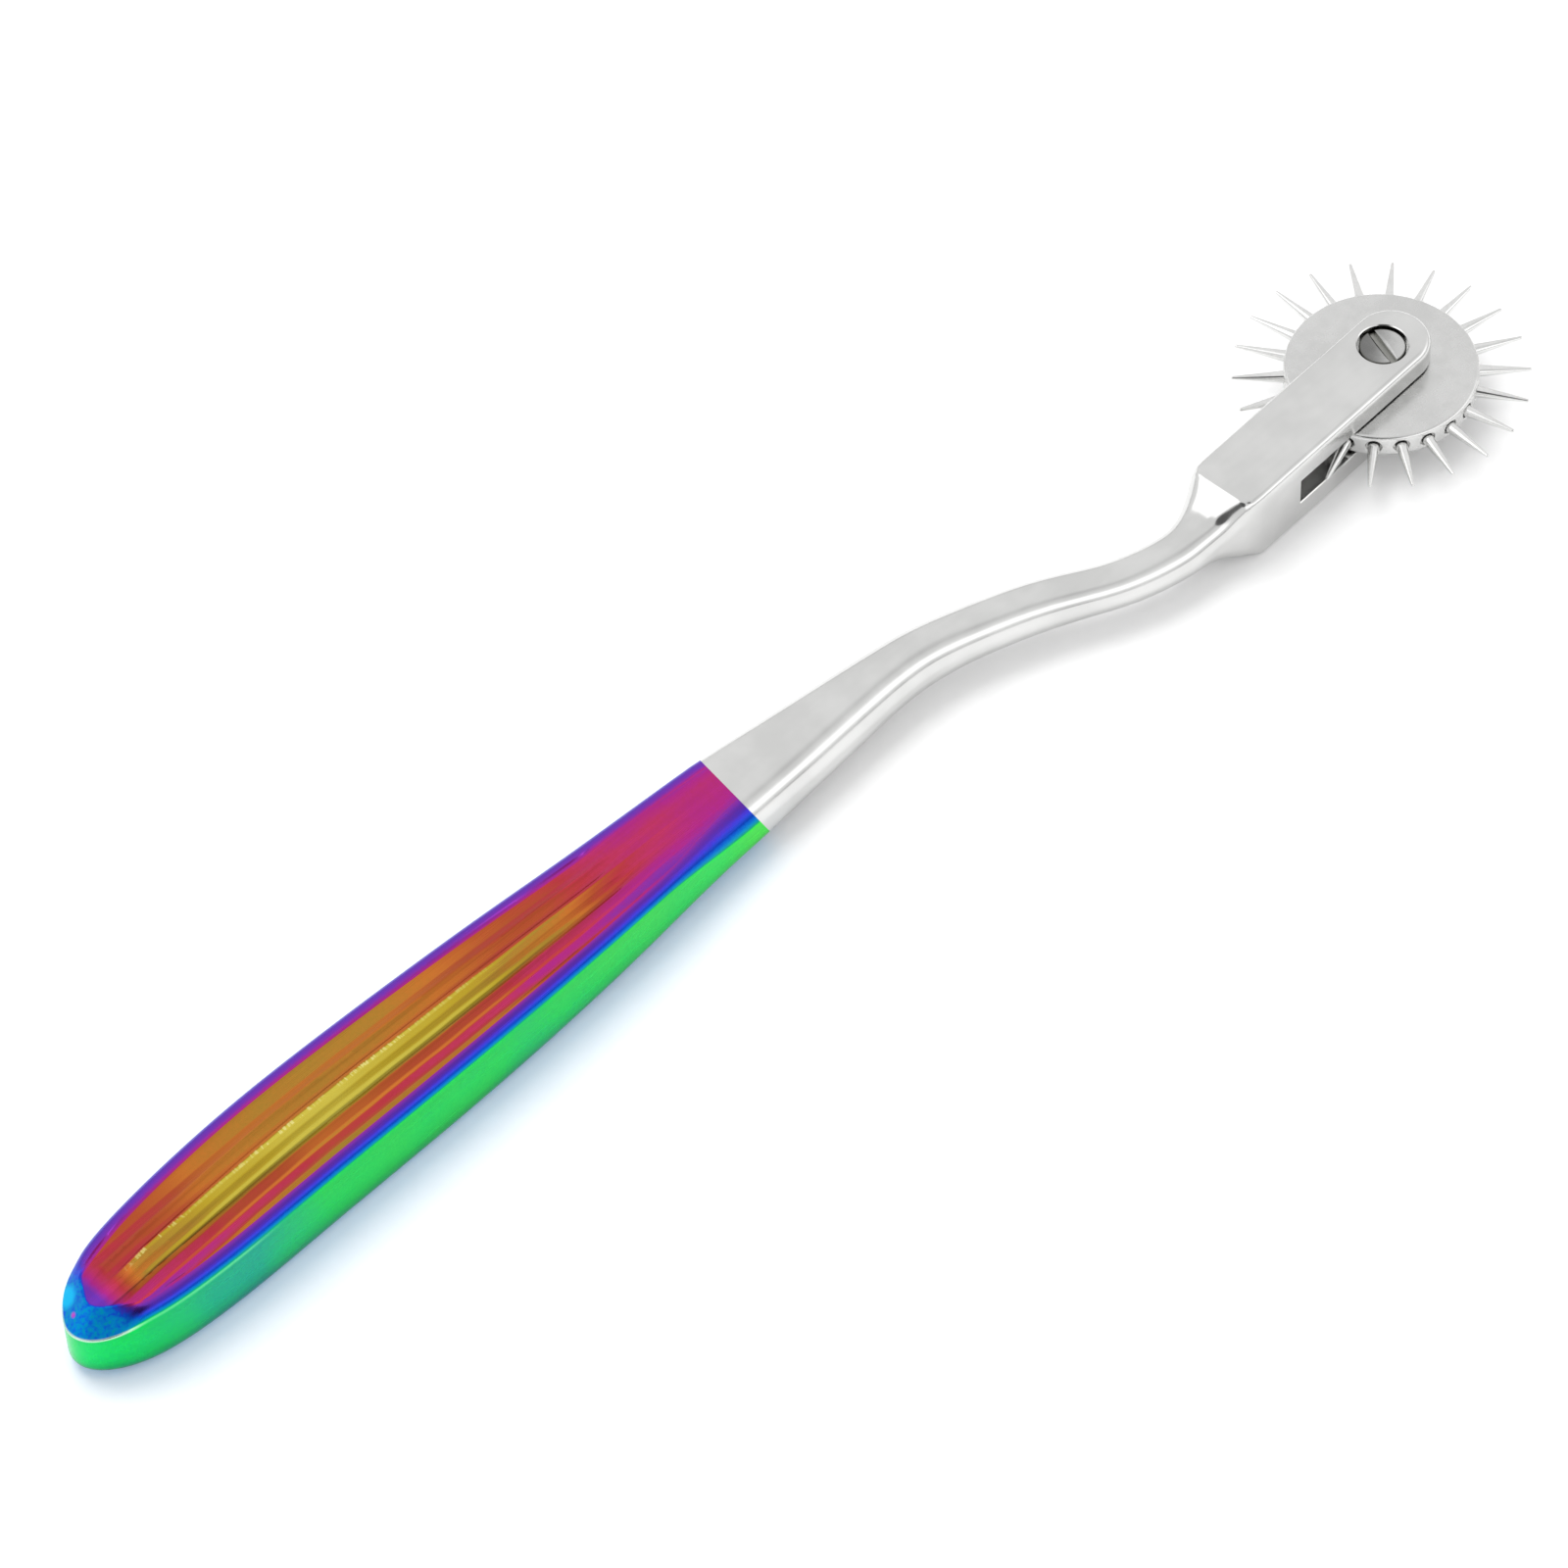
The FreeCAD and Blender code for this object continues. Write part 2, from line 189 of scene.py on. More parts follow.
handle = dict(
    forkWidth=7.9, forkThick=8.8, forkLength=22.6, forkTilt=2.3, earReach=5.3,
    topEdge=0.8, lowEdge=0.5,  # radii of the fork's edges
    shoulderLength=2.2, shoulderCorner=2.1,  # the lower corners round off here, up to the neck's flare
    shoulderEase=0.24,  # the sides and the underside curve in by this much before the top's crease
    creaseBlend=0.9,  # the top edges change to the neck's rounding over this length, up to the crease
    slotWidth=3.2, slotDepth=17.2,
    slotLip=0.1,  # the small chamfer along the slot's outer edges and round the hole's two mouths
    threadHole=1.5, threadEnd=4.4, journalHole=1.75, headHole=2.57, headSeat=7.25,  # hole: radii and heights
    neckLength=59.0, neckDiameter=4.5, gripOffset=8.95,
    flareLength=6.0,  # the first part of the neck, with finer ribs
    startTurn=5.0, endTurn=4.0,  # the ribs turn to the neck's line over these lengths
    gripLength=84.2, gripWidth=12.8, gripThick=8.65, gripFrontWidth=8.8, gripFrontThick=6.1,
    gripEdge=1.35, tailShift=1.1,
    tailLag=0.65, tailLagReach=0.118,  # the ribs' feet fall back at the tail, over this share of the grip
    frontEdgeLength=13,  # the near top edge is rounder at the grip's front, over this length
    tailFacet=2.3, tailFacetLength=(3.2, 6.5),  # a ground facet goes round the tail's top edge, far and near
    # neck: place along, place across, share of the fork's size, of the grip's width, of its thickness,
    # rounding of the corners
    neck=[(0, 0, 1, 0, 0, 0.53), (0.018, -0.008, 0.71, 0, 0, 0.6), (0.036, -0.018, 0.42, 0, 0, 0.72),
          (0.061, -0.03, 0.2, 0, 0, 0.84), (0.095, -0.038, 0.08, 0, 0, 0.92),
          (0.139, -0.005, 0.04, 0, 0, 0.94), (0.19, 0.075, 0.03, 0, 0, 0.94),
          (0.241, 0.194, 0, 0.01, 0.04, 0.94), (0.292, 0.349, 0, 0.04, 0.16, 0.94),
          (0.36, 0.543, 0, 0.09, 0.36, 0.94), (0.427, 0.693, 0, 0.115, 0.45, 0.94),
          (0.495, 0.819, 0, 0.15, 0.6, 0.94), (0.563, 0.91, 0, 0.22, 0.82, 0.92),
          (0.631, 0.953, 0, 0.335, 0.9, 0.88), (0.705, 0.968, 0, 0.48, 0.92, 0.82),
          (0.779, 0.976, 0, 0.63, 0.94, 0.75), (0.853, 0.984, 0, 0.78, 0.96, 0.68),
          (0.926, 0.992, 0, 0.9, 0.98, 0.56), (1, 1, 0, 1, 1, 0.443)],
    startRounding=(0.36, 0.54, 0.7),  # rounding of the top edges in the first sections, behind the crease
    nearRoundingFrom=0.7, nearRounding=(0.9, 0.885),  # the near top edge, from here to the neck's end
    # grip: place along, width, share of the tail's shift, share of the thickness gained
    grip=[(0, 0.6875, 0, 0), (0.19, 0.811, 0.25, 0.47), (0.31, 0.896, 0.29, 0.73), (0.43, 0.955, 0.25, 0.89),
          (0.55, 0.99, 0.18, 0.965), (0.667, 1, 0.18, 1), (0.786, 0.972, 0.47, 1), (0.857, 0.914, 0.68, 0.95),
          (0.905, 0.835, 0.8, 0.89), (0.952, 0.66, 0.9, 0.78), (0.982, 0.42, 0.97, 0.68), (1, 0, 1, 0.62)],
    flutes=[(1.45, 1.1, 0.3), (3.6, 2.6, 0.3)],  # distance from the middle, radius, depth
    fluteStart=-100.6, fluteEnd=-160.5, fluteFade=5.0,
    fluteClose=0.56,  # how much the flutes draw together towards both ends
    # how many ribs: front, along the fork, shoulder, flare, the rest of the neck, grip, tail
    ribs=(28, 62, 14, 26, 152, 214, 60),
    evenShare=0.85,  # the grip's ribs are evenly spaced over this share of it, then fan out round the tail
    counts=(34, 7, 3),  # points on the flat, round the corner and down the wall
    holeSegments=72,
)


def handleRows():
    # Middle point, edges, half thicknesses, corner radii and facet of every rib, from the fork's front end to
    # the tail: a half circle of ribs, straight ribs, the S-bend on natural cubics through the sections, and a
    # fan of ribs round the tail, where the width grows as the root of the distance.
    h = handle
    frontRibs, forkRibs, shoulderRibs, flareRibs, bendRibs, gripRibs, tailRibs = h["ribs"]
    half, tilt = h["forkWidth"] / 2, math.radians(h["forkTilt"])
    centreX = h["earReach"] - half
    angle = np.linspace(0, math.pi / 2, frontRibs)
    reach = h["forkLength"] + h["shoulderLength"]
    along = np.concatenate([np.linspace(centreX, -h["forkLength"], forkRibs)[1:],
                            np.linspace(-h["forkLength"], -reach, shoulderRibs)[1:]])
    midX = np.concatenate([centreX + 0 * angle, along])
    forkEase = h["shoulderEase"] * (np.maximum(0, -midX - h["forkLength"]) / h["shoulderLength"]) ** 2
    farX = np.concatenate([centreX + half * np.cos(angle), along])
    farY = np.concatenate([half * np.sin(angle), half + 0 * along]) - forkEase
    toNeck = easeStep(reach - h["creaseBlend"], reach, -midX)
    topCorner = h["topEdge"] + toNeck * (h["startRounding"][0] * half - h["topEdge"])
    toShoulder = easeStep(h["forkLength"], reach, -midX)
    lowCorner = h["lowEdge"] + toShoulder * (h["shoulderCorner"] - h["lowEdge"])
    middle, far, near = (turnAbout(np.stack([x, y], 1), tilt)
                         for x, y in ((midX, 0 * midX), (farX, farY), (farX, -farY)))
    forkHalf = h["forkThick"] / 2 + 0 * midX

    # neck
    place, across, forkShare, wideShare, thickShare, rounding = np.array(h["neck"], float).T
    startX, startY = middle[-1]
    x = startX - place * h["neckLength"]
    y = startY + across * (h["gripOffset"] - startY)
    thin = h["neckDiameter"]
    wide = thin + forkShare * (h["forkWidth"] - thin) + wideShare * (h["gripFrontWidth"] - thin)
    thick = thin + forkShare * (h["forkThick"] - thin) + thickShare * (h["gripFrontThick"] - thin)
    beadSize = np.minimum(wide, thick) / 2
    farRounding = np.concatenate([h["startRounding"], rounding[3:]])
    nearSpan = (h["nearRoundingFrom"], 1)
    nearRounding = np.where(place > nearSpan[0], np.interp(place, nearSpan, h["nearRounding"]), farRounding)
    ease = h["shoulderEase"] * (1 - easeStep(0, place[2], place))
    sections = [x, y, wide - 2 * ease, thick / 2, thick / 2 - ease]
    sections += [share * beadSize for share in (farRounding, nearRounding, rounding)]
    lineLength = np.concatenate([[0], np.cumsum(np.hypot(np.diff(x), np.diff(y)))])
    whole, flare = lineLength[-1], h["flareLength"]
    t = np.concatenate([np.linspace(0, flare, flareRibs), np.linspace(flare, whole, bendRibs)[1:]])[1:]
    neckX, neckY, neckWide, neckHigh, neckLow, farBead, nearBead, lowBead = (
        smoothThrough(lineLength, v, t) for v in sections)
    step = 0.05  # the neck's direction is that between the points this far ahead and this far behind
    nextX, nextY = (smoothThrough(lineLength, v, np.minimum(t + step, whole)) for v in (x, y))
    lastX, lastY = (smoothThrough(lineLength, v, np.maximum(t - step, 0)) for v in (x, y))
    heading = np.arctan2(lastY - nextY, lastX - nextX)
    turning = easeStep(0, h["startTurn"], t)
    heading = heading * easeStep(0, h["endTurn"], whole - t) * turning + tilt * (1 - turning)
    side = np.stack([-np.sin(heading), np.cos(heading)], 1)
    neckMiddle = np.stack([neckX, neckY], 1)

    # grip, on the root of the distance left to the tail
    share, gripWide, shift, rise = np.array(h["grip"], float).T
    lead = (place[-3:-1] - 1) * h["neckLength"] / h["gripLength"]  # the neck's last sections lead in
    root = np.sqrt(1 - np.concatenate([lead, share]))[::-1]
    gripWideAt = np.concatenate([wide[-3:-1], gripWide * h["gripWidth"]])[::-1]
    gripThick = h["gripFrontThick"] + rise * (h["gripThick"] - h["gripFrontThick"])
    gripThickAt = np.concatenate([thick[-3:-1], gripThick])[::-1]
    gripMiddleAt = np.concatenate([y[-3:-1], h["gripOffset"] - shift * h["tailShift"]])[::-1]
    evenly = np.sqrt(1 - np.linspace(0, h["evenShare"], gripRibs))
    wanted = np.concatenate([evenly[1:], np.linspace(evenly[-1], 0, tailRibs)[1:]])
    left = wanted**2
    gx = neckX[-1] - (1 - left) * h["gripLength"]
    gWide, gThick, gMiddle = (smoothThrough(root, v, wanted) for v in (gripWideAt, gripThickAt, gripMiddleAt))
    fromFront, fromTail = (1 - left) * h["gripLength"], left * h["gripLength"]
    footX = gx + h["tailLag"] * np.maximum(0, h["tailLagReach"] * h["gripLength"] - fromTail)
    gripMiddle = np.stack([footX, gMiddle], 1)
    gripFar, gripNear = np.stack([gx, gMiddle + gWide / 2], 1), np.stack([gx, gMiddle - gWide / 2], 1)

    # the tail's facet: straight over the first third of its length, then easing back to the round edge
    facetLength = h["tailFacetLength"]
    facet = 1 - easeStep(0.35 * facetLength[1], facetLength[1], fromTail)
    farTail, nearTail = ((h["tailFacet"] - h["gripEdge"]) * (1 - easeStep(0, length, fromTail))
                         for length in facetLength)
    rounder = (nearBead[-1] - h["gripEdge"]) * (1 - easeStep(0, h["frontEdgeLength"], fromFront))
    gripCorner = h["gripEdge"] + 0 * gx

    neckSide = side * neckWide[:, None] / 2
    join = lambda *parts: np.concatenate(parts)
    return dict(
        middle=join(middle, neckMiddle, gripMiddle), far=join(far, neckMiddle + neckSide, gripFar),
        near=join(near, neckMiddle - neckSide, gripNear), high=join(forkHalf, neckHigh, gThick / 2),
        low=join(forkHalf - forkEase, neckLow, gThick / 2),
        farCorner=join(topCorner, farBead, gripCorner + farTail),
        nearCorner=join(topCorner, nearBead, gripCorner + rounder + nearTail),
        lowCorner=join(lowCorner, lowBead, gripCorner), facet=join(0 * forkHalf, 0 * neckHigh, facet))


def fluteDepth(x, across):
    # round-bottomed grooves: the depth is that of a circle sunk below the face, fading out at both ends
    h = handle
    start, end, fade = h["fluteStart"], h["fluteEnd"], h["fluteFade"]
    place = np.clip((x - start) / (end - start), -1, 2)
    splay = 1 - h["fluteClose"] * (place - 0.5) ** 2
    shown = easeStep(-fade, 0.0, start - x) * easeStep(-fade, 0.0, x - end)
    depth = 0 * x
    for offset, radius, sink in h["flutes"]:
        for hand in (1, -1):
            away = np.clip(across - hand * offset * splay, -radius, radius)
            depth = np.maximum(depth, np.sqrt(radius**2 - away**2) - radius + sink * shown)
    return depth


def buildHandle():
    h = handle
    rows = handleRows()
    x, y, rise, edge, under = ribSkin(rows, h["counts"])
    across = y - rows["middle"][:, 1:]
    rise = rise - np.sign(rise) * (edge < 0) * fluteDepth(x, across)
    points = np.stack([x, y, rise], -1) * mm
    points[..., 2] += midHeight
    # band is the distance from the middle line, on the scale of the grip's full width up to its widest
    # place; from there to the tail it isn't scaled, so the bands run straight out into the facet
    widest = np.maximum.accumulate(np.abs(across).max(1))[:, None]
    band = across * h["gripWidth"] / 2 / widest
    attributes = [("band", band), ("edge", edge), ("under", under)]
    piece = meshPiece("forgedHandle", points, gridFaces(*x.shape, True), attributes)
    closeMesh(piece)
    cutWith(piece, slotCutter())
    cutWith(piece, holeCutter())
    smoothShade(piece)
    return piece


def slotCutter():
    # The gap between the ears: a flat slab that follows the fork's outline and opens out at 45 degrees where
    # it leaves the side walls, which gives the slot's edges their small chamfer.
    h = handle
    half, tilt, lip = h["forkWidth"] / 2, math.radians(h["forkTilt"]), h["slotLip"]
    beyond = 0.5  # how far the slab reaches outside the fork
    centreX = h["earReach"] - half
    angle = np.linspace(0, math.pi / 2, 24)[:, None]
    back = np.linspace(centreX, -h["slotDepth"], 20)[1:, None]
    out = np.array([0, half - lip, half + beyond, half + beyond, half - lip] * 2)
    hand = np.array([0, 1, 1, 1, 1, 0, -1, -1, -1, -1])
    halfGap = h["slotWidth"] / 2 + np.array([0, 0, lip + beyond])
    height = np.concatenate([halfGap, -halfGap[::-1], -halfGap[1:], halfGap[:0:-1]])
    x = np.concatenate([centreX + out * np.cos(angle), back + 0 * out])
    y = np.concatenate([hand * out * np.sin(angle), 0 * back + hand * out])
    points = turnAbout(np.stack([x, y, height + 0 * x], -1), tilt) * mm
    points[..., 2] += midHeight
    rows, columns = x.shape
    endCap = range((rows - 1) * columns, rows * columns)
    cutter = meshPiece("slot", points, gridFaces(rows, columns, True), caps=[endCap])
    closeMesh(cutter)
    return cutter


def holeCutter():
    # the screw's stepped hole as one turned shape: thread, journal and head, with both mouths opened out
    h = handle
    lip, top, beyond = h["slotLip"], h["forkThick"], 0.6
    thread, journal, head = h["threadHole"], h["journalHole"], h["headHole"]
    profile = [(0, -beyond), (thread + beyond + lip, -beyond), (thread, lip), (thread, h["threadEnd"]),
               (journal, h["threadEnd"]), (journal, h["headSeat"]), (head, h["headSeat"]), (head, top - lip),
               (head + beyond + lip, top + beyond), (0, top + beyond)]
    return turned("hole", np.array(profile) * mm, h["holeSegments"])


handlePiece = buildHandle()
print("handle skin:", len(handlePiece.data.polygons), "faces")


# Wheel, needles and screw

wheel = dict(radius=9.75, thick=2.65, bore=1.75, boreEdge=0.12, rimEdge=0.45, segments=264,
             # the relief round each needle, at the rim
             reliefRadius=0.81, reliefDepth=0.5, reliefFlare=0.05, reliefSegments=32)
needle = dict(count=22, phase=4.7, tipCircle=14.998, radius=0.65, tipRadius=0.19, seatDepth=2.6,
              seatEdge=0.05, rings=40, segments=40,
              lean=0.35, sway=0.3, farLean=1.0, farSide=130)  # degrees; they lean up most at farSide
screw = dict(journal=1.7, thread=1.5, threadEnd=0.3, threadEdge=0.25, step=2.8, headSeat=7.25,
             headRadius=2.35, headRim=8.5, dome=0.2, edge=0.16, segments=96,
             slotWidth=0.75, slotDepth=0.65, slotAngle=72, slotEdge=0.06)


def buildWheel():
    # a disc turned about the pivot: the upper half's profile, and the same upside down
    w = wheel
    half, edge, mouth = w["thick"] / 2, w["rimEdge"], w["boreEdge"]
    face = np.linspace(w["bore"] + mouth, w["radius"] - edge, 9)[1:-1]
    top = np.concatenate([
        [(w["bore"], 0), (w["bore"], half - mouth), (w["bore"] + mouth, half)],
        np.stack([face, half + 0 * face], 1),
        arcPoints((w["radius"] - edge, half - edge), edge, 90, 0, 9), [(w["radius"], half / 4)]])
    profile = np.concatenate([top, top[::-1] * (1, -1)])
    piece = turned("wheelDisc", profile * mm + (0, midHeight), w["segments"])
    cutWith(piece, reliefCutter())
    smoothShade(piece)
    return piece


def reliefCutter():
    # a small turned pocket that lies along the radius, flared at the rim, once for every needle
    w = wheel
    r, flare = w["reliefRadius"] * mm, w["reliefFlare"] * mm
    floor, rim, outside = ((w["radius"] + step) * mm for step in (-w["reliefDepth"], 0, 0.6))
    profile = [(0, floor), (r, floor), (r, rim - 2 * flare), (r + 2 * flare, rim), (r + 6 * flare, outside),
               (0, outside)]
    pocket = carriedRound(profile, w["reliefSegments"], "x")
    points = np.stack([turnAbout(pocket, angle) for angle in needleAngles()])
    points[..., 2] += midHeight
    rows, columns = pocket.shape[:2]
    first = np.arange(len(points))[:, None, None] * rows * columns
    cutter = meshPiece("reliefs", points, (gridFaces(rows, columns, True) + first).reshape(-1, 4))
    closeMesh(cutter)
    return cutter


def needleAngles():
    n = needle
    return np.radians(n["phase"] + 360 * np.arange(n["count"]) / n["count"])


def buildNeedle(number, angle):
    # A needle is a profile turned about the radial direction: shank, long ground taper and round tip. Each
    # leans by a fraction of a degree, those on the far side up to a degree more, as hand-set needles do.
    n = needle
    inner, root = wheel["radius"] - n["seatDepth"], wheel["radius"] - wheel["reliefDepth"]
    tipCentre = n["tipCircle"] - n["tipRadius"]
    share = np.linspace(0, 1, n["rings"])
    narrowing = n["radius"] + (n["tipRadius"] - n["radius"]) * share
    taper = np.stack([narrowing, root + (tipCentre - root) * share], 1)
    tip = arcPoints((0, tipCentre), n["tipRadius"], 0, 90, 5)
    seat = [(0, inner), (n["radius"] - n["seatEdge"], inner), (n["radius"], inner + n["seatEdge"])]
    profile = np.concatenate([seat, taper, tip[1:]])
    profile[-1, 0] = 0  # the tip's last point, exactly on the axis
    piece = turned(f"needle_{number:02d}", profile * mm, n["segments"], "x")
    points = np.empty(len(piece.data.vertices) * 3)
    piece.data.vertices.foreach_get("co", points)
    points = points.reshape(-1, 3)
    farther = max(0, math.cos(angle - math.radians(n["farSide"])))
    lean = math.radians(n["lean"] * math.sin(2.4 * number) + n["farLean"] * farther)
    sway = math.radians(n["sway"] * math.sin(5.1 * number + 1))
    away = np.maximum(points[:, 0] - root * mm, 0)
    points[:, 2] += away * math.tan(lean)
    points[:, 1] += away * math.tan(sway)
    points[:, 0] -= away * (1 - math.cos(lean) * math.cos(sway))
    points = turnAbout(points, angle)
    points[:, 2] += midHeight
    piece.data.vertices.foreach_set("co", points.ravel())
    piece.data.update()
    smoothShade(piece)
    return piece


def buildScrew():
    # a turned shoulder screw with a domed head: the dome is the circle through its rim and its rise
    s = screw
    rim, edge, wide = s["headRim"], s["edge"], s["headRadius"]
    domeRadius = (wide**2 + s["dome"] ** 2) / (2 * s["dome"])
    fall = lambda radius: rim + s["dome"] - domeRadius + np.sqrt(domeRadius**2 - radius**2)
    crown = np.linspace(wide - edge, 0, 14)
    corner = arcPoints((wide - edge, fall(crown[0]) - edge), edge, 0, 80, 5)
    profile = np.concatenate([
        [(0, s["threadEnd"]), (s["thread"] - s["threadEdge"], s["threadEnd"]),
         (s["thread"], s["threadEnd"] + s["threadEdge"]), (s["thread"], s["step"]), (s["journal"], s["step"]),
         (s["journal"], s["headSeat"]), (wide, s["headSeat"])], corner, np.stack([crown, fall(crown)], 1)])
    piece = turned("pivotScrew", profile * mm, s["segments"])
    cutWith(piece, driverCutter())
    smoothShade(piece)
    return piece


def driverCutter():
    # the driver's slot: one section, opened out at its mouth, carried across the head
    s = screw
    beyond, lip = 0.5, s["slotEdge"]
    half, rim = s["slotWidth"] / 2, s["headRim"]
    deep, reach = s["dome"] + rim - s["slotDepth"], s["headRadius"] + beyond
    section = np.array([(-half, deep), (half, deep), (half, rim - 0.02), (half + beyond + lip, rim + beyond),
                        (-half - beyond - lip, rim + beyond), (-half, rim - 0.02)])
    along = np.array([-reach, reach])[:, None]
    points = np.stack([along + 0 * section[:, 0], section[:, 0] + 0 * along, section[:, 1] + 0 * along], -1)
    points = turnAbout(points * mm, math.radians(s["slotAngle"]))
    cutter = meshPiece("driverSlot", points, gridFaces(2, 6, True), caps=[range(6), range(6, 12)])
    closeMesh(cutter)
    return cutter


wheelPiece = buildWheel()
needlePieces = [buildNeedle(k + 1, angle) for k, angle in enumerate(needleAngles())]
screwPiece = buildScrew()
print("wheel, needles and screw built")

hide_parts("handle_body")
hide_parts("wheel_disc")
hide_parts("pivot_screw")
for k, piece in enumerate(needlePieces):
    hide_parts(f"pin_{k + 1:02d}")
    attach(piece, "wheel")
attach(handlePiece, "handle")
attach(screwPiece, "handle")
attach(wheelPiece, "wheel")


# Materials

def newNode(tree, kind, inputs=None, **fields):
    node = tree.nodes.new("ShaderNode" + kind)
    for field, value in fields.items():
        setattr(node, field, value)
    for place, value in (inputs or {}).items():
        if isinstance(value, bpy.types.NodeSocket):
            tree.links.new(value, node.inputs[place])
        else:
            node.inputs[place].default_value = value
    return node


def calc(tree, operation, a, b=0.0):
    return newNode(tree, "Math", {0: a, 1: b}, operation=operation).outputs[0]


def total(tree, *parts):
    return reduce(lambda a, b: calc(tree, "ADD", a, b), parts)


def product(tree, *parts):
    return reduce(lambda a, b: calc(tree, "MULTIPLY", a, b), parts)


def stretched(tree, place, by):
    return newNode(tree, "VectorMath", {0: place, 1: by}, operation="MULTIPLY").outputs[0]


def measure(tree, operation, a, b=(0.0, 0.0, 0.0)):
    # a length, a distance or a dot product
    return newNode(tree, "VectorMath", {0: a, 1: b}, operation=operation).outputs["Value"]


def noise(tree, place, size, detail, rough=0.5):
    inputs = {"Vector": place, "Scale": size, "Detail": detail, "Roughness": rough}
    return newNode(tree, "TexNoise", inputs).outputs[0]


def between(tree, value, low, high, toLow=0.0, toHigh=1.0, smooth=True):
    # 0 at low and 1 at high, or the two other values given, and no further on either side
    kind = "SMOOTHSTEP" if smooth else "LINEAR"
    inputs = {"Value": value, "From Min": low, "From Max": high, "To Min": toLow, "To Max": toHigh}
    return newNode(tree, "MapRange", inputs, interpolation_type=kind).outputs[0]


def blendColours(tree, factor, a, b, kind="MIX"):
    return newNode(tree, "Mix", {0: factor, 6: a, 7: b}, data_type="RGBA", blend_type=kind).outputs[2]


def mixValues(tree, factor, a, b):
    return newNode(tree, "Mix", {0: factor, 2: a, 3: b}).outputs[0]


def ramp(tree, factor, stops):
    # a colour ramp; the two stops it starts with become the first and the last, the others go between
    node = newNode(tree, "ValToRGB", {0: factor})
    elements = node.color_ramp.elements
    elements[0].position, elements[1].position = 0, 1
    for place, _ in stops[1:-1]:
        elements.new(place)
    for element, (place, colour) in zip(elements, stops):
        element.position = place
        element.color = colour
    return node.outputs[0]


def grey(value):
    return (value, value, value, 1)


def tone(red, green, blue):
    # a colour as it is seen on screen, 0 to 255, turned into the light values that the nodes work in
    seen = [c / 255 for c in (red, green, blue)]
    return (*(c / 12.92 if c <= 0.0393 else ((c + 0.055) / 1.055) ** 2.4 for c in seen), 1)


def curve(tree, place, span, stops, lift=0.0):
    # a value that runs through the given (place, value) stops; lift keeps values below 0 inside the ramp
    along = between(tree, place, *span, smooth=False)
    stops = [((p - span[0]) / (span[1] - span[0]), grey(v + lift)) for p, v in stops]
    value = newNode(tree, "SeparateColor", {0: ramp(tree, along, stops)}).outputs[0]
    return calc(tree, "SUBTRACT", value, lift)


def spread(tree, value, amount):
    # noise around 0.5 turned into a change of plus or minus half the amount
    return product(tree, calc(tree, "SUBTRACT", value, 0.5), amount)


markNames = ("Cloud size", "Streak size", "Streak stretch", "Bump")


def wearGroup():
    # what polishing and handling leave on metal: cloudy patches and fine streaks along the piece
    group = bpy.data.node_groups.new("handPolish", "ShaderNodeTree")
    face = group.interface
    face.new_socket("Place", in_out="INPUT", socket_type="NodeSocketVector")
    for name in markNames:
        face.new_socket(name, in_out="INPUT", socket_type="NodeSocketFloat")
    for name, kind in (("Cloud", "Float"), ("Streak", "Float"), ("Normal", "Vector")):
        face.new_socket(name, in_out="OUTPUT", socket_type="NodeSocket" + kind)
    start = group.nodes.new("NodeGroupInput").outputs
    cloud = noise(group, start["Place"], start["Cloud size"], 3.0, 0.55)
    stretch = newNode(group, "CombineXYZ", {0: start["Streak stretch"], 1: 1.0, 2: 1.0}).outputs[0]
    streak = noise(group, stretched(group, start["Place"], stretch), start["Streak size"], 4.0, 0.6)
    height = total(group, product(group, streak, 0.6), product(group, cloud, 0.4))
    bump = newNode(group, "Bump", {"Strength": start["Bump"], "Distance": 0.02 * mm, "Height": height})
    end = group.nodes.new("NodeGroupOutput").inputs
    group.links.new(cloud, end["Cloud"])
    group.links.new(streak, end["Streak"])
    group.links.new(bump.outputs[0], end["Normal"])
    return group


polish = wearGroup()


def polished(tree, place, marks):
    # marks are the values for markNames; the streaks are stretched along X
    node = tree.nodes.new("ShaderNodeGroup")
    node.node_tree = polish
    tree.links.new(place, node.inputs["Place"])
    for name, value in zip(markNames, marks):
        node.inputs[name].default_value = value
    return node.outputs


def newMaterial(name):
    material = bpy.data.materials.new(name)
    material.use_nodes = True
    tree = material.node_tree
    shader = tree.nodes["Principled BSDF"]
    place = newNode(tree, "TexCoord").outputs["Object"]
    return material, tree, shader, place


def dress(piece, material):
    piece.data.materials.clear()
    piece.data.materials.append(material)


def asMetal(tree, shader, colour, rough, normal):
    tree.links.new(colour, shader.inputs["Base Color"])
    tree.links.new(rough, shader.inputs["Roughness"])
    tree.links.new(normal, shader.inputs["Normal"])
    shader.inputs["Metallic"].default_value = 1.0


def brightSteel(name, look):
    # plain polished steel: grey between two tones, roughness varied by the same clouds and streaks
    material, tree, shader, place = newMaterial(name)
    marks = polished(tree, place, look["marks"])
    mask = between(tree, total(tree, marks["Cloud"], marks["Streak"]), 0.7, 1.3)
    colour = blendColours(tree, mask, tone(*look["low"]), tone(*look["high"]))
    rough = between(tree, marks["Streak"], 0.3, 0.7, *look["rough"])
    asMetal(tree, shader, colour, rough, marks["Normal"])
    return material


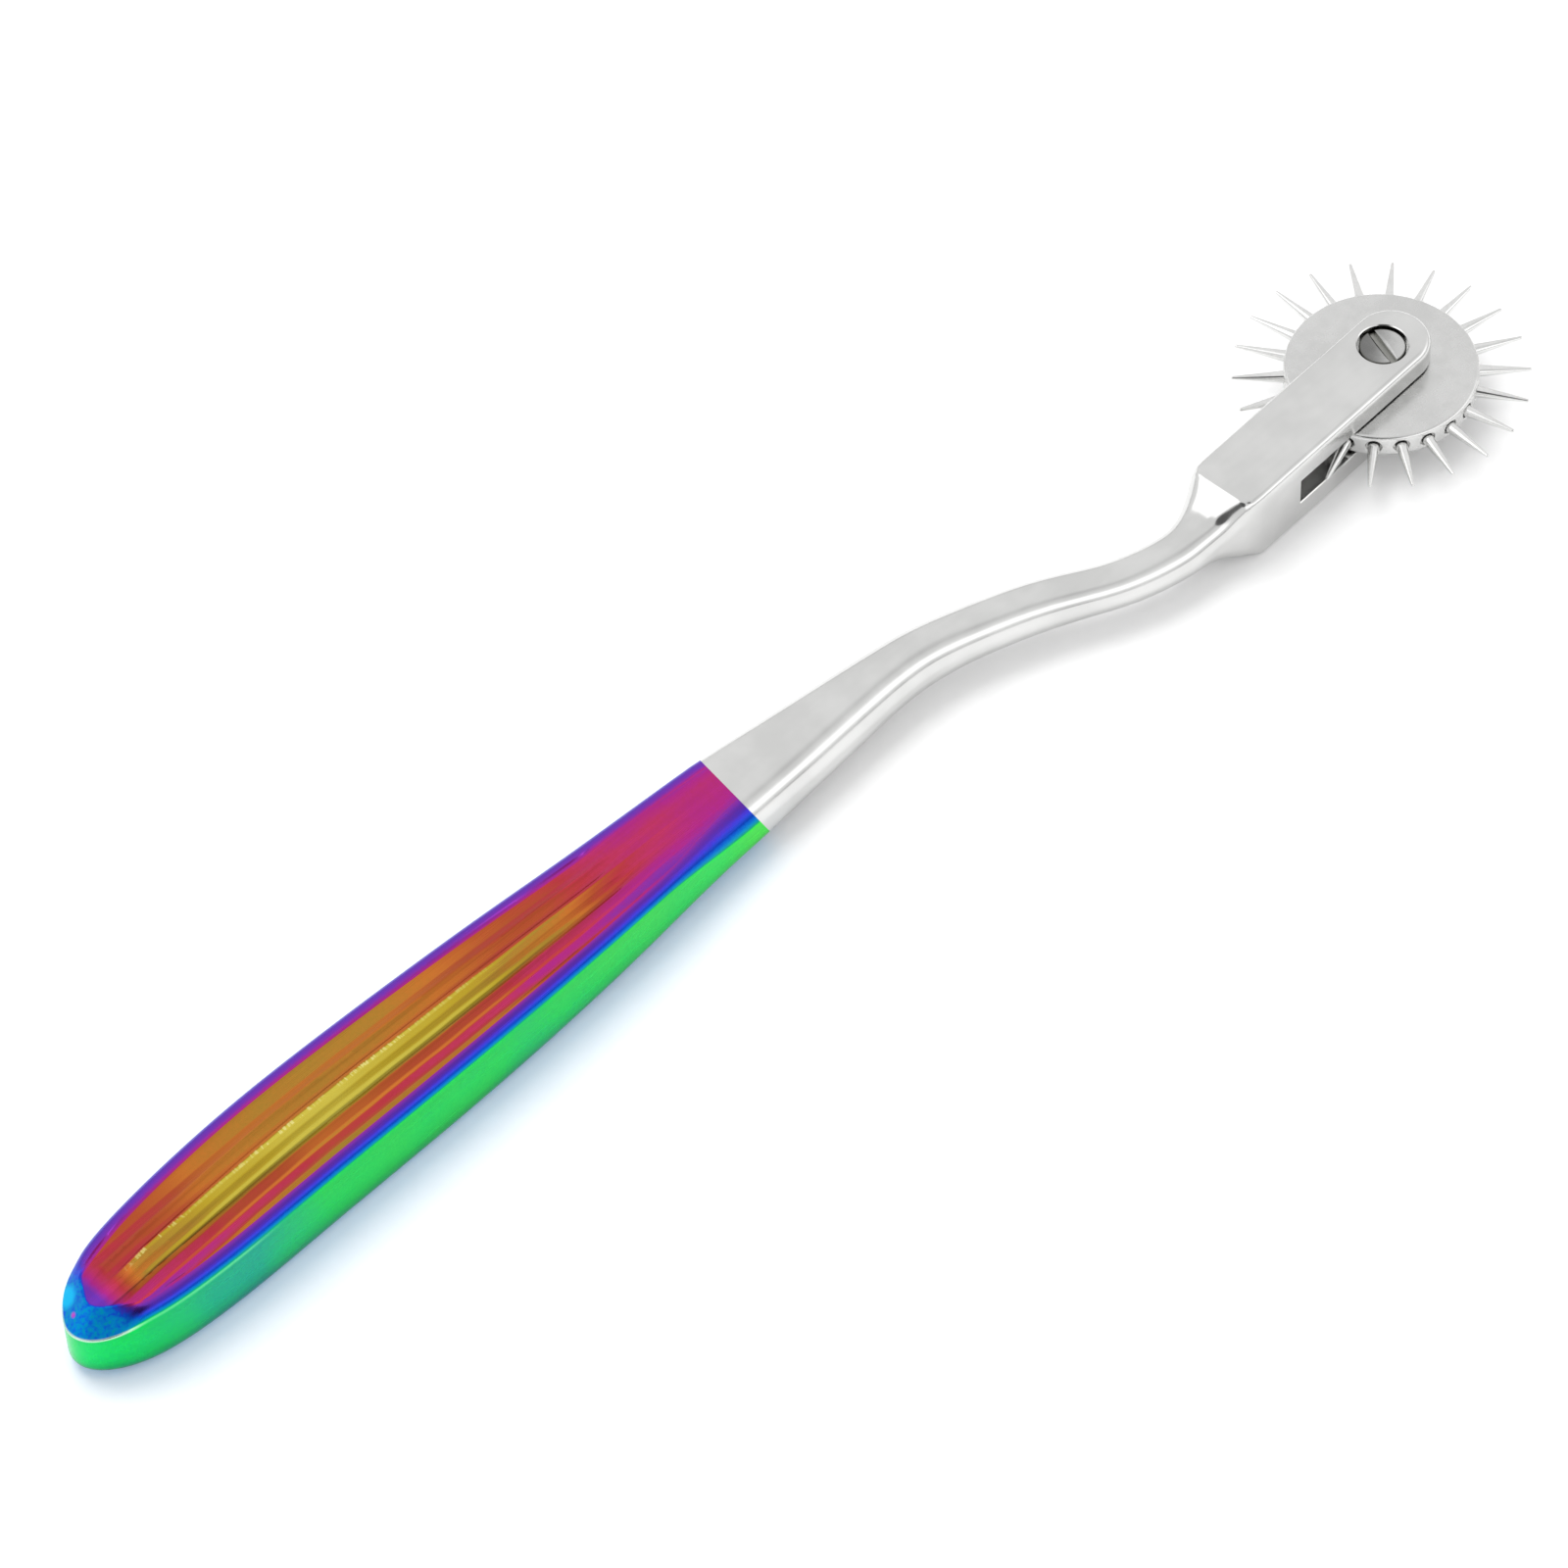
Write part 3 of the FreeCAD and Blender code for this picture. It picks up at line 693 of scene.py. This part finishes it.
def turnedSteelWithPaintedShade(name, look):
    # a lathe-turned screw head with painted light and shade: painted darker on one side than on the other,
    # painted shade inside its slot, and a painted shadow in a ring round its rim
    material, tree, shader, place = newMaterial(name)
    marks = polished(tree, place, look["marks"])
    # painted light and shade: the head is lighter towards aim and darker away from it
    toward = measure(tree, "DOT_PRODUCT", place, look["aim"])
    toward = total(tree, toward, spread(tree, marks["Cloud"], 2 * mm))
    mask = between(tree, toward, -1.8 * mm, 1.8 * mm)
    colour = blendColours(tree, mask, tone(*look["low"]), tone(*look["high"]))
    height = newNode(tree, "SeparateXYZ", {0: place}).outputs[2]
    # painted shade inside the driver's slot
    top, floor = (value * mm for value in look["slotShadeHeights"])
    colour = blendColours(tree, between(tree, height, top, floor), colour, tone(*look["slotPaintedShade"]))
    # a painted shadow in a ring at the head's rim, beside the gap
    radius = measure(tree, "LENGTH", stretched(tree, place, (1.0, 1.0, 0.0)))
    inside, outside = (value * mm for value in look["gapShadowRadii"])
    colour = blendColours(tree, between(tree, radius, inside, outside), colour, tone(*look["gapPaintedShadow"]))
    rough = between(tree, marks["Streak"], 0.3, 0.7, *look["rough"])
    asMetal(tree, shader, colour, rough, marks["Normal"])
    return material


wheelLook = dict(low=(209, 209, 208), high=(219, 219, 218), rough=(0.22, 0.3), marks=(160, 700, 1.0, 0.012))
needleLook = dict(low=(222, 222, 221), high=(232, 232, 231), rough=(0.1, 0.2), marks=(500, 5000, 1.0, 0.05))
# low and high are the screw head's painted shaded and lit sides
screwLook = dict(low=(122, 122, 121), high=(205, 205, 204), rough=(0.25, 0.38), marks=(500, 4000, 1.0, 0.1),
                 aim=(0.7, -0.71, 0.0),  # the side painted lighter
                 slotShadeHeights=(8.3, 8.1), slotPaintedShade=(152, 152, 148),
                 gapShadowRadii=(2.14, 2.27), gapPaintedShadow=(92, 92, 88))

handleLook = dict(
    marks=(150, 1500, 0.03, 0.02), grainSize=2600.0, patchSize=110.0,
    steelLow=(212, 212, 211), steelHigh=(222, 222, 221), steelRough=(0.13, 0.22), filmRough=(0.2, 0.3),
    # the finish ends on a plane through this point, with these slopes of x over y and over z
    edgePoint=(-83.04, 12.3, 7.45), edgeSlope=(0.1415, -0.4553),
    gripSpan=(-168.0, -83.0),  # the grip by x; every place along it is an x in mm
    # colours of the finish in the order in which a thicker film shows them
    film=[(0.0, (208, 192, 76)), (0.08, (190, 164, 47)), (0.16, (174, 134, 52)), (0.24, (204, 118, 50)),
          (0.32, (186, 84, 50)), (0.38, (192, 60, 70)), (0.44, (196, 56, 104)), (0.5, (182, 46, 140)),
          (0.56, (124, 56, 182)), (0.62, (68, 56, 200)), (0.68, (18, 84, 218)), (0.75, (6, 140, 205)),
          (0.83, (2, 166, 134)), (0.91, (6, 206, 78)), (1.0, (66, 212, 56))],
    # lengthwise bands on the flat faces, from the -Y side to the +Y side: where each ends on the scale of
    # band, then its film thickness and its lightness, whose highs and lows are painted highlights and painted
    # dark lines along the crests and flutes
    bands=[(-4.65, 0.2, 0.9), (-4.3, 0.36, 0.95), (-3.55, 0.4, 1.0), (-3.2, 0.25, 1.12), (-2.35, 0.32, 0.93),
           (-1.95, 0.15, 0.75), (-1.62, 0.05, 0.56), (-1.2, 0.0, 1.0), (-0.6, 0.09, 0.97), (0.05, 0.05, 1.05),
           (0.42, 0.0, 1.05), (1.3, 0.25, 0.95), (2.3, 0.215, 0.97), (3.2, 0.26, 0.93), (5.2, 0.205, 1.0)],
    bandSpan=5.2, bandSoft=0.09,
    # the film's change along the grip, and the bands' own film at the front, where they fade into it
    drift=[(-168.0, 0.16), (-160.0, 0.13), (-154.0, 0.08), (-148.0, 0.02), (-140.0, -0.04), (-130.0, -0.03),
           (-122.0, 0.02), (-112.0, 0.07), (-92.0, 0.05), (-83.0, 0.06)],
    frontBands=[(-5.2, 0.54), (-4.0, 0.49), (-2.4, 0.45), (0.0, 0.43), (2.2, 0.42), (3.6, 0.47), (5.2, 0.54)],
    frontSpan=(-118.0, -86.0),
    # film thickness by the place on the scale of edge, on the -Y side and on the +Y side
    nearRim=[(-1.5, 0), (0.18, 0), (0.2, 0.53), (0.55, 0.575), (0.95, 0.62), (1.2, 0.665), (1.45, 0.71),
             (1.65, 0.77), (1.8, 0.85), (2.5, 0.85)],
    farRim=[(-1.5, 0), (-0.42, 0), (-0.4, 0.49), (0.0, 0.55), (0.6, 0.59), (1.2, 0.63), (1.6, 0.68),
            (2.5, 0.72)],
    rimSpan=(-1.5, 2.5),
    tailSpan=(-157.0, -164.5), tailFilm=(-0.05, 0.57),  # the film is at least this thick towards the tail
    facetSpan=(-162.5, -165.0), facetEdge=(-0.4, -0.1),  # the ground facet, by x and by edge
    facetFilm=0.72, facetLight=1.02, facetRough=0.5,
    # the side walls: where they start on the scale of edge, their film along the grip, the film lost towards
    # the foot, which turns it a darker teal as painted shade, and their lightness by height, painted shade at
    # the foot and painted light in the middle
    wallFrom=(1.78, 1.88),
    wall=[(-168.0, 0.875), (-163.0, 0.88), (-157.0, 0.87), (-150.0, 0.85), (-141.0, 0.905), (-92.0, 0.92),
          (-83.0, 0.96)],
    footShadeSpan=(2.4, 0.2), footShadeLoss=0.06,
    wallPaintedLightAndShade=[(0.2, 0.4), (1.4, 0.85), (2.4, 1.12), (3.4, 1.2), (5.0, 1.15), (6.6, 1.0), (8.6, 1.0)],
    wallSpan=(0.2, 8.6),
    # a light line where the facet and the wall meet, fading out along the near edge: a painted highlight on
    # the crease, where the film is also worn thin
    glintAndWearSpan=(-146.0, -152.0), glintAndWearShare=0.6, glintAndWearTone=(110, 232, 150), glintAndWearFacetTone=(250, 250, 255),
    # two small marks at the tail's tip: centre, radius and colour
    tipMarks=[((-165.8, 10.5, 7.0), 1.5, (24, 190, 240)), ((-166.95, 8.75, 7.2), 0.5, (220, 62, 196))],
    # short nicks painted as bright glints: across by band, along by x, and how often they come in the three
    # directions
    nickBand=((0.0, 0.12), (0.55, 0.38)), nickSpan=((-162.0, -157.0), (-112.0, -124.0)),
    nickRate=(3600.0, 900.0, 500.0), nickShare=0.7, nickGlintTone=(244, 234, 150),
    thrownTone=(20, 190, 235),  # what the coating throws on the floor
)


def bandRamp(tree, place, look):
    # steps with soft edges: red carries the film thickness and green the lightness, which paints highlights
    # and dark lines
    span, soft, begin, stops = look["bandSpan"], look["bandSoft"], -look["bandSpan"], []
    lightScale = 1.5  # keeps the lightness below 1 in the ramp
    for end, film, light in look["bands"]:
        colour = (film, light / lightScale, 0, 1)
        stops += [((begin + soft + span) / span / 2, colour), ((end - soft + span) / span / 2, colour)]
        begin = end
    along = between(tree, place, -span, span, smooth=False)
    parts = newNode(tree, "SeparateColor", {0: ramp(tree, along, stops)}).outputs
    return parts[0], product(tree, parts[1], lightScale)


def filmMaterial():
    # Steel with an iridescent coating on the grip. The film's thickness decides its colour: it varies in
    # bands across the flat faces, changes towards the front and the tail, and is thickest on the side walls.
    # Painted highlights and painted shade lie on top of it.
    g = handleLook
    material, tree, shader, place = newMaterial("forgedSteelFilmAndPaintedLight")
    along, sideways, height = (product(tree, part, 1 / mm)
                               for part in newNode(tree, "SeparateXYZ", {0: place}).outputs)
    band, edge, under = (newNode(tree, "Attribute", attribute_name=name).outputs["Fac"]
                         for name in ("band", "edge", "under"))
    marks = polished(tree, place, g["marks"])
    grain = noise(tree, place, g["grainSize"], 2.0)
    patch = noise(tree, place, g["patchSize"], 1.0)
    patches = spread(tree, patch, 0.1)

    # flat faces
    band = total(tree, band, spread(tree, marks["Cloud"], 0.2))
    film, light = bandRamp(tree, band, g)
    front = between(tree, along, *g["frontSpan"])
    film = mixValues(tree, front, film, curve(tree, band, (-g["bandSpan"], g["bandSpan"]), g["frontBands"]))
    light = mixValues(tree, front, light, 1.0)
    film = total(tree, film, curve(tree, along, g["gripSpan"], g["drift"], 0.5), patches)

    # rims and tail facet
    nearRim, farRim = (curve(tree, edge, g["rimSpan"], g[name]) for name in ("nearRim", "farRim"))
    rim = mixValues(tree, calc(tree, "GREATER_THAN", band, 0.0), nearRim, farRim)
    tail = between(tree, along, *g["tailSpan"], *g["tailFilm"], smooth=False)
    facet = product(tree, between(tree, along, *g["facetSpan"]), between(tree, edge, *g["facetEdge"]))
    onRim = calc(tree, "GREATER_THAN", rim, 0.3)
    film = calc(tree, "MAXIMUM", mixValues(tree, onRim, film, rim), tail)
    mottle = total(tree, patches, spread(tree, grain, 0.2))
    film = mixValues(tree, facet, film, total(tree, g["facetFilm"], mottle))
    # painted shade: the rounded edges darken to 0.8 towards the wall
    light = mixValues(tree, onRim, light, between(tree, edge, 0.2, 1.0, 1.0, 0.8))
    light = mixValues(tree, facet, light, g["facetLight"])

    # walls: they start early on the underside, as nothing is ground there, and a little late at the facet
    wallFilm = total(tree, curve(tree, along, g["gripSpan"], g["wall"]), patches)
    # painted shade: towards the foot the wall turns a darker teal
    wallFilm = calc(tree, "SUBTRACT", wallFilm, between(tree, height, *g["footShadeSpan"], 0.0, g["footShadeLoss"]))
    wallEdge = total(tree, edge, product(tree, under, 1.35))
    wallEdge = calc(tree, "SUBTRACT", wallEdge, product(tree, facet, 0.1))
    onWall = between(tree, wallEdge, *g["wallFrom"])
    film = mixValues(tree, onWall, film, wallFilm)
    # the wall's lightness by height: painted shade at the foot, painted light in the middle
    light = mixValues(tree, onWall, light, curve(tree, height, g["wallSpan"], g["wallPaintedLightAndShade"]))
    film = total(tree, film, spread(tree, grain, 0.03))
    colour = ramp(tree, film, [(p, tone(*c)) for p, c in g["film"]])
    light = total(tree, light, spread(tree, marks["Streak"], 0.22), spread(tree, grain, 0.12))
    bright = newNode(tree, "CombineXYZ", {0: light, 1: light, 2: light}).outputs[0]
    colour = blendColours(tree, 1.0, colour, bright, "MULTIPLY")

    # light line on the crease, painted highlight and wear, on the upper side only
    glintAndWear = product(tree, between(tree, edge, 1.84, 1.98), between(tree, edge, 2.16, 2.02),
                   between(tree, along, *g["glintAndWearSpan"], 0.0, g["glintAndWearShare"]),
                   calc(tree, "SUBTRACT", 1.0, under))
    glintAndWearColour = blendColours(tree, facet, tone(*g["glintAndWearTone"]), tone(*g["glintAndWearFacetTone"]))
    colour = blendColours(tree, glintAndWear, colour, glintAndWearColour)

    # marks at the tip, where the piece hung while it was coated
    for centre, radius, mark in g["tipMarks"]:
        centre = tuple(part * mm for part in centre)
        away = measure(tree, "DISTANCE", place, centre)
        colour = blendColours(tree, between(tree, away, radius * mm, 0.4 * radius * mm), colour, tone(*mark))

    # nicks along the crest beside the middle flutes, in clusters, painted as bright glints
    crest, spell = (product(tree, between(tree, value, *rising), between(tree, value, *falling))
                    for value, (rising, falling) in ((band, g["nickBand"]), (along, g["nickSpan"])))
    nick = noise(tree, stretched(tree, place, g["nickRate"]), 1.0, 1.0)
    nickGlints = product(tree, crest, spell, between(tree, nick, 0.5, 0.6, 0.0, g["nickShare"]),
                    between(tree, patch, 0.4, 0.58, 0.25, 1.0))
    colour = blendColours(tree, nickGlints, colour, tone(*g["nickGlintTone"]))

    # the tint of the light that it throws on the floor, and bare steel beyond the finish's end
    thrown = newNode(tree, "LightPath").outputs["Is Diffuse Ray"]
    colour = blendColours(tree, thrown, colour, tone(*g["thrownTone"]))
    point, slope = g["edgePoint"], g["edgeSlope"]
    end = total(tree, product(tree, sideways, slope[0]), product(tree, height, slope[1]),
                point[0] - slope[0] * point[1] - slope[1] * point[2])
    coated = calc(tree, "LESS_THAN", along, end)
    steelMask = between(tree, total(tree, marks["Cloud"], spread(tree, marks["Streak"], 0.15)), 0.3, 0.7)
    steel = blendColours(tree, steelMask, tone(*g["steelLow"]), tone(*g["steelHigh"]))
    steelRough = between(tree, marks["Cloud"], 0.3, 0.7, *g["steelRough"])
    filmRough = between(tree, marks["Streak"], 0.3, 0.7, *g["filmRough"])
    dull = product(tree, facet, calc(tree, "SUBTRACT", 1.0, onWall))
    filmRough = mixValues(tree, dull, filmRough, g["facetRough"])
    asMetal(tree, shader, blendColours(tree, coated, steel, colour),
            mixValues(tree, coated, steelRough, filmRough), marks["Normal"])
    return material


dress(handlePiece, filmMaterial())
dress(wheelPiece, brightSteel("wheelSatin", wheelLook))
dress(screwPiece, turnedSteelWithPaintedShade("screwSteelWithPaintedShade", screwLook))
needleSteel = brightSteel("needleGround", needleLook)
for piece in needlePieces:
    dress(piece, needleSteel)
print("materials built")


# Floor, light and camera

paper = dict(reach=1.5, below=0.03, low=0.88, high=0.92, grain=700.0,
             # light added where the camera looks at it, more towards the distance, and in reflections
             liftSpan=(0.25, 0.9), lift=(0.05, 0.5), mirrorLift=0.03)

studio = dict(
    fill=0.91,  # the even grey that lights the floor from all round
    # what polished metal sees, as brightness by degrees above the horizon: the room
    room=[(-90, 0.95), (-3.6, 0.9), (-1.44, 0.5), (1.8, 0.5), (5.04, 0.9), (21.6, 0.93), (54, 0.95),
          (90, 0.92)],
    # the -Y side: dark line, pale strip, dip, bright window, grey wall above it
    window=[(0, 0.45), (2.7, 0.45), (4.95, 1.0), (8.1, 1.0), (10.35, 0.82), (12.15, 0.86), (15.3, 1.6),
            (31.5, 1.6), (37.8, 0.95), (48.6, 0.88), (54.9, 0.72), (60.3, 0.72), (67.5, 0.93), (90, 0.92)],
    windowTurn=((-135.0, -112.0), (8.0, -40.0)),  # degrees round from +X where it comes in and goes out
    # a second window, by degrees round and by height
    backTurn=(88.0, 104.0), backHeight=((22.0, 32.0), (76.0, 66.0)), backLight=1.7,
    spotTurn=-142, spotHeight=47, spotSize=(21, 18), spotLight=0.12,  # the dark spot
    lampPlace=(-0.08, 0.3, 0.7), lampSize=0.5, lampPower=3.4,
)

photoView = dict(lens=168.75, sensor=36, place=(-377.09, -311.54, 552.72),
                 right=(0.70273, -0.71087, -0.02898), up=(0.56921, 0.53732, 0.62232),
                 back=(-0.42682, -0.45381, 0.78223))


def buildFloor():
    p = paper
    across = np.linspace(-p["reach"], p["reach"], 4)
    x, y = np.meshgrid(across, across, indexing="ij")
    piece = meshPiece("studioFloor", np.stack([x, y, 0 * x - p["below"] * mm], -1), gridFaces(4, 4, False))
    closeMesh(piece)
    material, tree, shader, place = newMaterial("palePaper")
    grain = noise(tree, place, p["grain"], 2.0)
    tree.links.new(blendColours(tree, grain, grey(p["low"]), grey(p["high"])), shader.inputs["Base Color"])
    shader.inputs["Roughness"].default_value = 1.0
    shader.inputs["Specular IOR Level"].default_value = 0.0
    path = newNode(tree, "LightPath").outputs
    away = measure(tree, "LENGTH", place)
    lift = product(tree, path["Is Camera Ray"], between(tree, away, *p["liftSpan"], *p["lift"]))
    lift = total(tree, lift, product(tree, path["Is Glossy Ray"], p["mirrorLift"]))
    glow = newNode(tree, "Emission", {"Color": grey(1), "Strength": lift})
    added = newNode(tree, "AddShader", {0: shader.outputs[0], 1: glow.outputs[0]})
    tree.links.new(added.outputs[0], tree.nodes["Material Output"].inputs["Surface"])
    dress(piece, material)


def buildStudio():
    # White to the camera, an even grey to diffuse light. Polished metal sees a pale room with a long bright
    # window low on the -Y side, another behind the tail, a dark line round the horizon and one dark spot.
    s = studio
    world = bpy.data.worlds.new("studio")
    bpy.context.scene.world = world
    world.use_nodes = True
    tree = world.node_tree
    tree.nodes.clear()
    direction = newNode(tree, "TexCoord").outputs["Generated"]
    x, y, z = newNode(tree, "SeparateXYZ", {0: direction}).outputs
    height = product(tree, calc(tree, "ARCSINE", z), math.degrees(1))
    turn = product(tree, calc(tree, "ARCTAN2", y, x), math.degrees(1))
    room = curve(tree, height, (-90.0, 90.0), s["room"])
    window = curve(tree, height, (0.0, 90.0), s["window"])
    comesIn, goesOut = (between(tree, turn, *ends) for ends in s["windowTurn"])
    glossy = mixValues(tree, product(tree, comesIn, goesOut), room, window)
    comesIn, goesOut = (between(tree, height, *ends) for ends in s["backHeight"])
    backBand = product(tree, between(tree, turn, *s["backTurn"]), comesIn, goesOut)
    glossy = mixValues(tree, backBand, glossy, s["backLight"])
    spotTurn, spotHeight = math.radians(s["spotTurn"]), math.radians(s["spotHeight"])
    spotAim = (math.cos(spotTurn) * math.cos(spotHeight), math.sin(spotTurn) * math.cos(spotHeight),
               math.sin(spotHeight))
    facing = measure(tree, "DOT_PRODUCT", direction, spotAim)
    spot = between(tree, facing, *(math.cos(math.radians(size)) for size in s["spotSize"]))
    glossy = mixValues(tree, spot, glossy, s["spotLight"])
    path = newNode(tree, "LightPath").outputs
    light = mixValues(tree, path["Is Glossy Ray"], s["fill"], glossy)
    light = mixValues(tree, path["Is Camera Ray"], light, 1.0)
    colour = newNode(tree, "CombineColor", {0: light, 1: light, 2: light}).outputs[0]
    back = newNode(tree, "Background", {"Color": colour, "Strength": 1.0})
    end = newNode(tree, "OutputWorld")
    tree.links.new(back.outputs[0], end.inputs[0])

    lamp = bpy.data.lights.new("bigSoftbox", "AREA")
    lamp.shape = "SQUARE"
    lamp.size = s["lampSize"]
    lamp.energy = s["lampPower"]
    lampPiece = bpy.data.objects.new("bigSoftbox", lamp)
    lampPiece.location = s["lampPlace"]
    lampPiece.rotation_euler = (-math.atan2(s["lampPlace"][1], s["lampPlace"][2]), 0, 0)
    lampPiece.visible_glossy = False
    bpy.context.scene.collection.objects.link(lampPiece)


def buildCamera():
    v = photoView
    view = bpy.data.cameras.new("photoView")
    view.lens = v["lens"]
    view.sensor_width = v["sensor"]
    view.clip_start, view.clip_end = 0.01, 20
    camera = bpy.data.objects.new("photoView", view)
    matrix = np.eye(4)
    matrix[:3] = np.transpose([v["right"], v["up"], v["back"], np.array(v["place"]) * mm])
    camera.matrix_world = Matrix(matrix.tolist())
    bpy.context.scene.collection.objects.link(camera)
    bpy.context.scene.camera = camera


buildFloor()
buildStudio()
buildCamera()
bpy.context.scene.view_settings.view_transform = "Standard"
print("floor, light and camera set")

bpy.context.view_layer.update()
